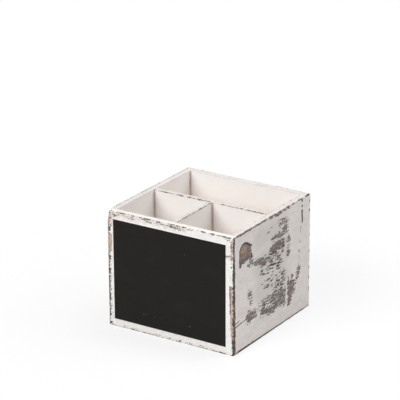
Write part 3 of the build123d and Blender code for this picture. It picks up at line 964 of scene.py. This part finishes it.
bradSettings = {
    "steel": rgb(0.42, 0.40, 0.38), "rust": rgb(0.20, 0.11, 0.07), "paint": rgb(0.72, 0.68, 0.63),
    "cover": 0.55,
}


def bradFinish(s):
    material, tree = newMaterial("painted brad")
    where = placeOnPiece(tree)
    rust = remap(tree, noise(tree, where, 1.6, 3, 0.6), 0.5, 0.62)
    covered = remap(tree, noise(tree, where, 1.1, 2, 0.5), s["cover"], s["cover"] - 0.1)
    metal = blendColour(tree, rust, s["steel"], s["rust"])
    drawn = noise(tree, vectors(tree, "MULTIPLY", where, (9, 9, 0.6)), 1, 2, 0.5)
    uncovered = maths(tree, "SUBTRACT", 1, covered)
    shader = place(tree, "ShaderNodeBsdfPrincipled", {
        "Base Color": blendColour(tree, covered, metal, s["paint"]),
        "Metallic": maths(tree, "MULTIPLY", uncovered, maths(tree, "SUBTRACT", 1, rust)),
        "Roughness": maths(tree, "MULTIPLY_ADD", drawn, 0.3, 0.4),
        "Normal": place(tree, "ShaderNodeBump", {
            "Strength": 0.4, "Distance": mm, "Height": maths(tree, "MULTIPLY", drawn, 0.03)}).outputs[0],
    })
    place(tree, "ShaderNodeOutputMaterial", {"Surface": shader.outputs[0]})
    arrange(tree)
    return material


bradMaterial = bradFinish(bradSettings)
for node in ("corner_brads", "base_brads"):
    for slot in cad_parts[node].material_slots:
        slot.material = bradMaterial
print("boards, chalkboard and brads finished")


# Floor, light and camera

studio = {
    "floorReach": 3.0, "floorColour": rgb(0.88, 0.88, 0.88),
    "whiteShare": 0.72, "shadowReach": (0.11, 0.26),  # m from the holder, where the floor turns plain white
    "ambient": 0.20,
    "lamps": {
        "key": {"place": (-1.0, -3.28, 2.25), "size": 2.4, "power": 107.0},
        "above": {"place": (0.3, 0.2, 2.0), "size": 1.4, "power": 21.5},
        "fill": {"place": (2.0, 1.25, 1.70), "size": 1.92, "power": 21.5},
    },
}


def seenDirectly(tree):  # 1 for what the camera, a reflection or glass looks at
    path = place(tree, "ShaderNodeLightPath").outputs
    mirrored = maths(tree, "MAXIMUM", path["Is Glossy Ray"], path["Is Transmission Ray"])
    return maths(tree, "MAXIMUM", path["Is Camera Ray"], mirrored)


def makeFloor(s):
    material, tree = newMaterial("pale floor")
    lit = place(tree, "ShaderNodeBsdfDiffuse", {"Color": s["floorColour"]})
    white = place(tree, "ShaderNodeEmission", {"Strength": 1.0})
    away = vectors(tree, "LENGTH", place(tree, "ShaderNodeTexCoord").outputs["Object"])
    share = remap(tree, away, *s["shadowReach"], s["whiteShare"], 1.0)
    mix = place(tree, "ShaderNodeMixShader", {
        0: maths(tree, "MULTIPLY", seenDirectly(tree), share), 1: lit.outputs[0], 2: white.outputs[0]})
    place(tree, "ShaderNodeOutputMaterial", {"Surface": mix.outputs[0]})
    arrange(tree)
    r = s["floorReach"]
    mesh = bpy.data.meshes.new("floor")
    mesh.from_pydata([(-r, -r, 0), (r, -r, 0), (r, r, 0), (-r, r, 0)], [], [(0, 1, 2, 3)])
    mesh.materials.append(material)
    floor = newObject("floor", mesh)


def makeWorld(s):
    world = bpy.data.worlds.new("studio")
    world.use_nodes = True
    tree = world.node_tree
    tree.nodes.clear()
    strength = blendValue(tree, seenDirectly(tree), s["ambient"], 1.0)
    sky = place(tree, "ShaderNodeBackground", {"Color": rgb(1, 1, 1), "Strength": strength})
    place(tree, "ShaderNodeOutputWorld", {"Surface": sky.outputs[0]})
    arrange(tree)
    bpy.context.scene.world = world


def makeLamp(name, s):
    lamp = bpy.data.lights.new(name, "AREA")
    lamp.shape = "DISK"
    lamp.size = s["size"]
    lamp.energy = s["power"]
    body = newObject(name, lamp)
    body.location = s["place"]
    body.rotation_euler = (holder["centre"] - body.location).to_track_quat("-Z", "Y").to_euler()


makeFloor(studio)
makeWorld(studio)
for name, lampSettings in studio["lamps"].items():
    makeLamp(name, lampSettings)

view = {  # fitted to the photograph
    "place": (0.9020, -1.41814, 0.73874), "aim": (-0.01743, 0.01137, 0.10059), "roll": -0.289,
    "sensor": 36, "lens": 187.905,
}
lens = bpy.data.cameras.new("camera")
lens.sensor_width = view["sensor"]
lens.lens = view["lens"]
camera = newObject("camera", lens)
camera.location = view["place"]
facing = (Vector(view["aim"]) - camera.location).to_track_quat("-Z", "Y")
camera.rotation_euler = (facing @ Quaternion((0, 0, 1), math.radians(view["roll"]))).to_euler()
bpy.context.scene.camera = camera
bpy.context.scene.view_settings.view_transform = "Standard"

print("stage, light and camera set")
